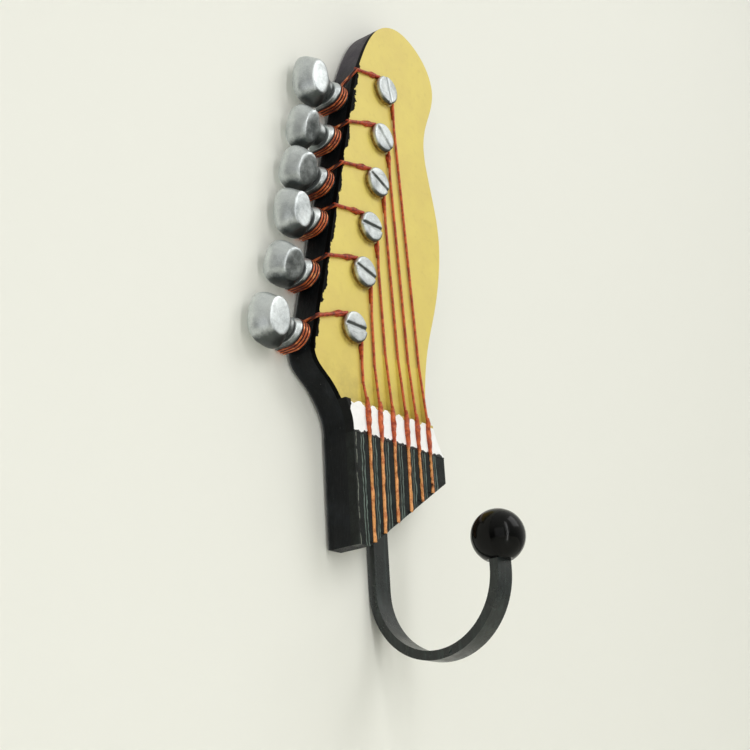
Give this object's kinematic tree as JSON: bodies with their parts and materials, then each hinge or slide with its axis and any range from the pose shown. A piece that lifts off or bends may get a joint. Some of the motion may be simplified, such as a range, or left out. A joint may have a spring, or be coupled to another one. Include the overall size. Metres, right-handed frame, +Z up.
{
  "type": "coat hook",
  "caption": "Wall-hung coat hook in the shape of an electric guitar headstock, with turning tuner pegs, strings, a steel J hook and a ball tip.",
  "frame": {"origin": "middle of the hanger plate's round hole, on the wall plane", "axes": "X across the neck, +Y into the wall, +Z up; the front faces -Y"},
  "size_m": [0.1153, 0.0671, 0.2809],
  "materials": {
    "black_resin": "cast resin, brushed satin black paint",
    "cream_resin": "cast resin, hand-painted cream yellow",
    "fretboard_resin": "cast resin, hand-painted green-black",
    "white_nut": "cast resin, white paint",
    "silver_paint": "cast zinc with silver paint, slightly mottled",
    "copper_wire": "wire with copper-red paint",
    "black_steel": "flat steel bar, black enamel",
    "black_ball": "moulded ball, gloss black",
    "bright_steel": "ground steel pin",
    "zinc_steel": "zinc-plated steel"
  },
  "bodies": {
    "headstock": {"headstock_body": "black_resin", "headstock_face": "cream_resin", "fretboard": "fretboard_resin", "nut": "white_nut", "peg_retaining_pins": "bright_steel", "hook_strap": "black_steel", "hook_ball": "black_ball", "hook_screws": "zinc_steel", "hanger_plate": "zinc_steel", "hanger_screws": "zinc_steel", "string_1": "copper_wire", "string_post_1": "silver_paint", "string_lead_1": "copper_wire", "peg_collar_1": "silver_paint", "string_2": "copper_wire", "string_post_2": "silver_paint", "string_lead_2": "copper_wire", "peg_collar_2": "silver_paint", "string_3": "copper_wire", "string_post_3": "silver_paint", "string_lead_3": "copper_wire", "peg_collar_3": "silver_paint", "string_4": "copper_wire", "string_post_4": "silver_paint", "string_lead_4": "copper_wire", "peg_collar_4": "silver_paint", "string_5": "copper_wire", "string_post_5": "silver_paint", "string_lead_5": "copper_wire", "peg_collar_5": "silver_paint", "string_6": "copper_wire", "string_post_6": "silver_paint", "string_lead_6": "copper_wire", "peg_collar_6": "silver_paint"},
    "peg_1": {"peg_button_1": "silver_paint", "peg_shaft_1": "bright_steel"},
    "peg_2": {"peg_button_2": "silver_paint", "peg_shaft_2": "bright_steel"},
    "peg_3": {"peg_button_3": "silver_paint", "peg_shaft_3": "bright_steel"},
    "peg_4": {"peg_button_4": "silver_paint", "peg_shaft_4": "bright_steel"},
    "peg_5": {"peg_button_5": "silver_paint", "peg_shaft_5": "bright_steel"},
    "peg_6": {"peg_button_6": "silver_paint", "peg_shaft_6": "bright_steel"}
  },
  "joints": [
    {"name": "peg_1_turn", "type": "hinge", "parent": "headstock", "child": "peg_1", "pos_m": [-0.01538, -0.0069, 0.03333], "axis": [-0.989, 0, 0.1478], "range_deg": [-15, 15]},
    {"name": "peg_2_turn", "type": "hinge", "parent": "headstock", "child": "peg_2", "pos_m": [-0.02104, -0.0069, 0.01207], "axis": [-1, 0, 0], "range_deg": [-2, 38]},
    {"name": "peg_3_turn", "type": "hinge", "parent": "headstock", "child": "peg_3", "pos_m": [-0.02692, -0.0069, -0.01006], "axis": [-0.9936, 0, 0.1132], "range_deg": [-2, 38]},
    {"name": "peg_4_turn", "type": "hinge", "parent": "headstock", "child": "peg_4", "pos_m": [-0.03194, -0.0069, -0.02891], "axis": [-0.9998, 0, 0.0175], "range_deg": [-16, 24]},
    {"name": "peg_5_turn", "type": "hinge", "parent": "headstock", "child": "peg_5", "pos_m": [-0.03842, -0.0069, -0.05326], "axis": [-0.9976, 0, 0.0698], "range_deg": [-2, 38]},
    {"name": "peg_6_turn", "type": "hinge", "parent": "headstock", "child": "peg_6", "pos_m": [-0.04567, -0.0069, -0.08051], "axis": [-0.9833, 0, 0.1822], "range_deg": [-15, 15]}
  ]
}
